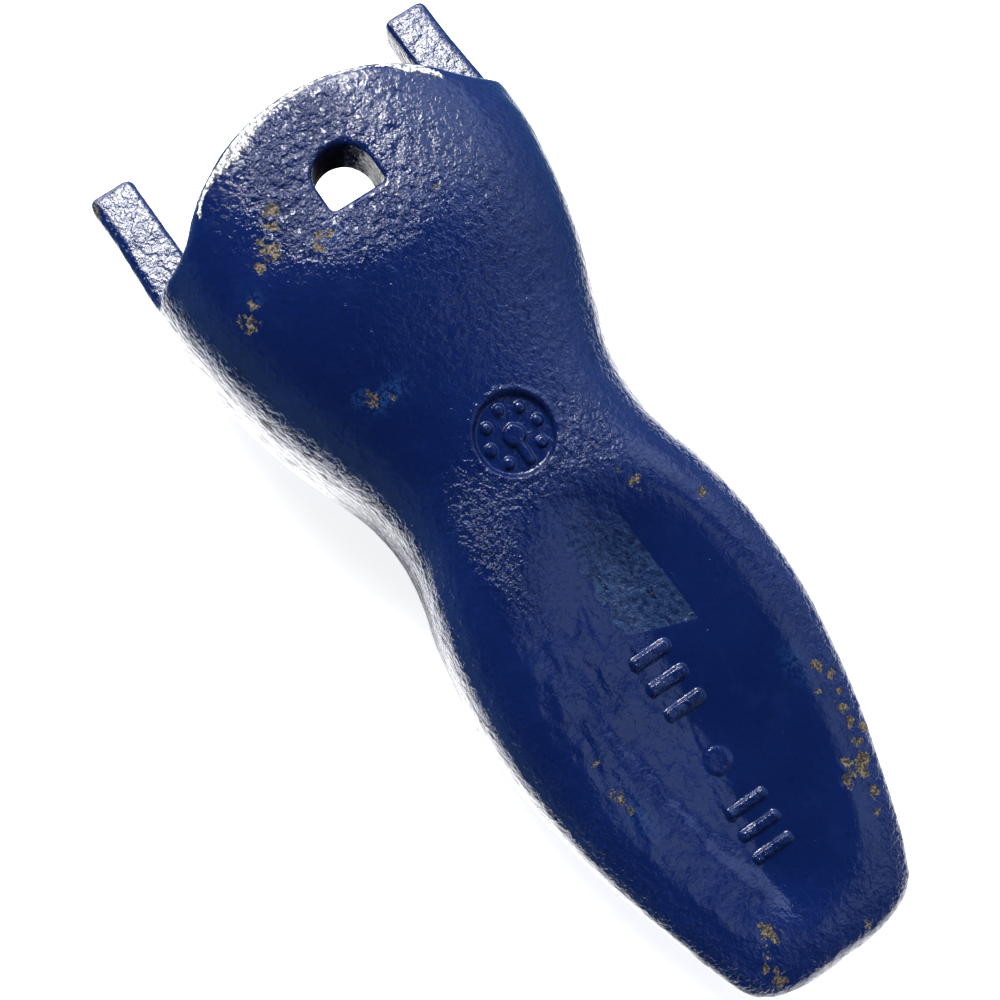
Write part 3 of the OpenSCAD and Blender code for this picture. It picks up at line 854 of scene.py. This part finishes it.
# soft boxes and walls of the studio, by direction
world = bpy.data.worlds.new("studio")
scene.world = world
world.use_nodes = True
wt = world.node_tree
bg = wt.nodes["Background"]
tc = wt.nodes.new("ShaderNodeTexCoord")
sep = wt.nodes.new("ShaderNodeSeparateXYZ")
wt.links.new(tc.outputs["Generated"], sep.inputs[0])
WX, WY, WZ = sep.outputs


def wm(op, *args):
    n = wt.nodes.new("ShaderNodeMath")
    n.operation = op
    for i, a in enumerate(args):
        if isinstance(a, bpy.types.NodeSocket):
            wt.links.new(a, n.inputs[i])
        else:
            n.inputs[i].default_value = a
    return n.outputs[0]


def edge(v, a, b, lo=0.0, hi=1.0):
    n = wt.nodes.new("ShaderNodeMapRange")
    n.interpolation_type = "SMOOTHSTEP"
    if b < a:
        a, b, lo, hi = b, a, hi, lo
    wt.links.new(v, n.inputs["Value"])
    for k, q in (("From Min", a), ("From Max", b), ("To Min", lo), ("To Max", hi)):
        n.inputs[k].default_value = q
    return n.outputs[0]


def many(op, *args):
    out = args[0]
    for a in args[1:]:
        out = wm(op, out, a)
    return out


def cap(direction, inner, outer_deg, radiance):
    d = Vector(direction).normalized()
    dot = many("ADD", wm("MULTIPLY", WX, d.x), wm("MULTIPLY", WY, d.y), wm("MULTIPLY", WZ, d.z))
    return wm("MULTIPLY", edge(dot, math.cos(math.radians(outer_deg)), math.cos(math.radians(inner))), radiance)


window_a = many("MULTIPLY", edge(WY, 0.43, 0.455), edge(WX, 0.13, 0.10), edge(WX, -0.85, -0.75), edge(WZ, 0.42, 0.46), 1.5)
window_b = many("MULTIPLY", edge(WY, 0.60, 0.64), edge(WX, 0.11, 0.15), edge(WX, 0.37, 0.33), edge(WZ, 0.22, 0.28), 0.85)
window_c = many("MULTIPLY", edge(WY, 0.15, 0.21), edge(WY, 0.66, 0.62), edge(WX, 0.42, 0.46), edge(WX, 0.80, 0.74), edge(WZ, 0.2, 0.3), 0.66)
windows = wm("MAXIMUM", wm("MAXIMUM", window_a, window_b), window_c)
wall = many("MULTIPLY", edge(WY, 0.1, 0.5), edge(WZ, 0.45, 0.25), 0.34)
haze = edge(WZ, 0.5, 0.0, 0.04, 0.11)
back = cap((-0.96, 0.12, 0.26), 16, 26, 6.0)
shade = many("MULTIPLY", edge(WY, -0.40, -0.80), edge(WZ, 0.55, 0.15), edge(WX, 0.75, 0.5), 1.0)
strip = many("MULTIPLY", edge(WX, -0.43, -0.46), edge(WX, -0.72, -0.68), edge(WY, -0.10, -0.06), edge(WY, 0.46, 0.42), edge(WZ, 0.3, 0.4), 9.0)


def tinted(value, colour):
    n = wt.nodes.new("ShaderNodeVectorMath")
    n.operation = "SCALE"
    n.inputs[0].default_value = colour
    wt.links.new(value, n.inputs["Scale"])
    return n.outputs[0]


def plus(a, b):
    n = wt.nodes.new("ShaderNodeVectorMath")
    n.operation = "ADD"
    wt.links.new(a, n.inputs[0])
    wt.links.new(b, n.inputs[1])
    return n.outputs[0]


sky = plus(tinted(windows, (0.92, 1.18, 1.65)), plus(plus(tinted(wall, (0.7, 1.0, 1.5)), tinted(shade, (0.10, 0.24, 0.42))), plus(tinted(haze, (0.8, 1.0, 1.3)), tinted(wm("MAXIMUM", back, strip), (1, 1, 1)))))
wt.links.new(sky, bg.inputs["Color"])
bg.inputs["Strength"].default_value = 1.0

# ---------------------------------------------------------------- camera
cam_data = bpy.data.cameras.new("camera")
cam = bpy.data.objects.new("camera", cam_data)
scene.collection.objects.link(cam)
cam_data.sensor_width = 36
cam_data.lens = 68.6
cam_data.shift_x, cam_data.shift_y = 0.002, -0.005
cam_data.clip_start = 0.01
cam_data.clip_end = 50
right = (0.57292129, 0.81794991, 0.05214543)
down = (0.80308767, -0.54752387, -0.23509108)
ahead = (-0.16374186, 0.17656603, -0.97057356)
cam.matrix_world = Matrix((
    (right[0], -down[0], -ahead[0], 0.160122),
    (right[1], -down[1], -ahead[1], -0.093940),
    (right[2], -down[2], -ahead[2], 0.508875),
    (0, 0, 0, 1)))
scene.camera = cam
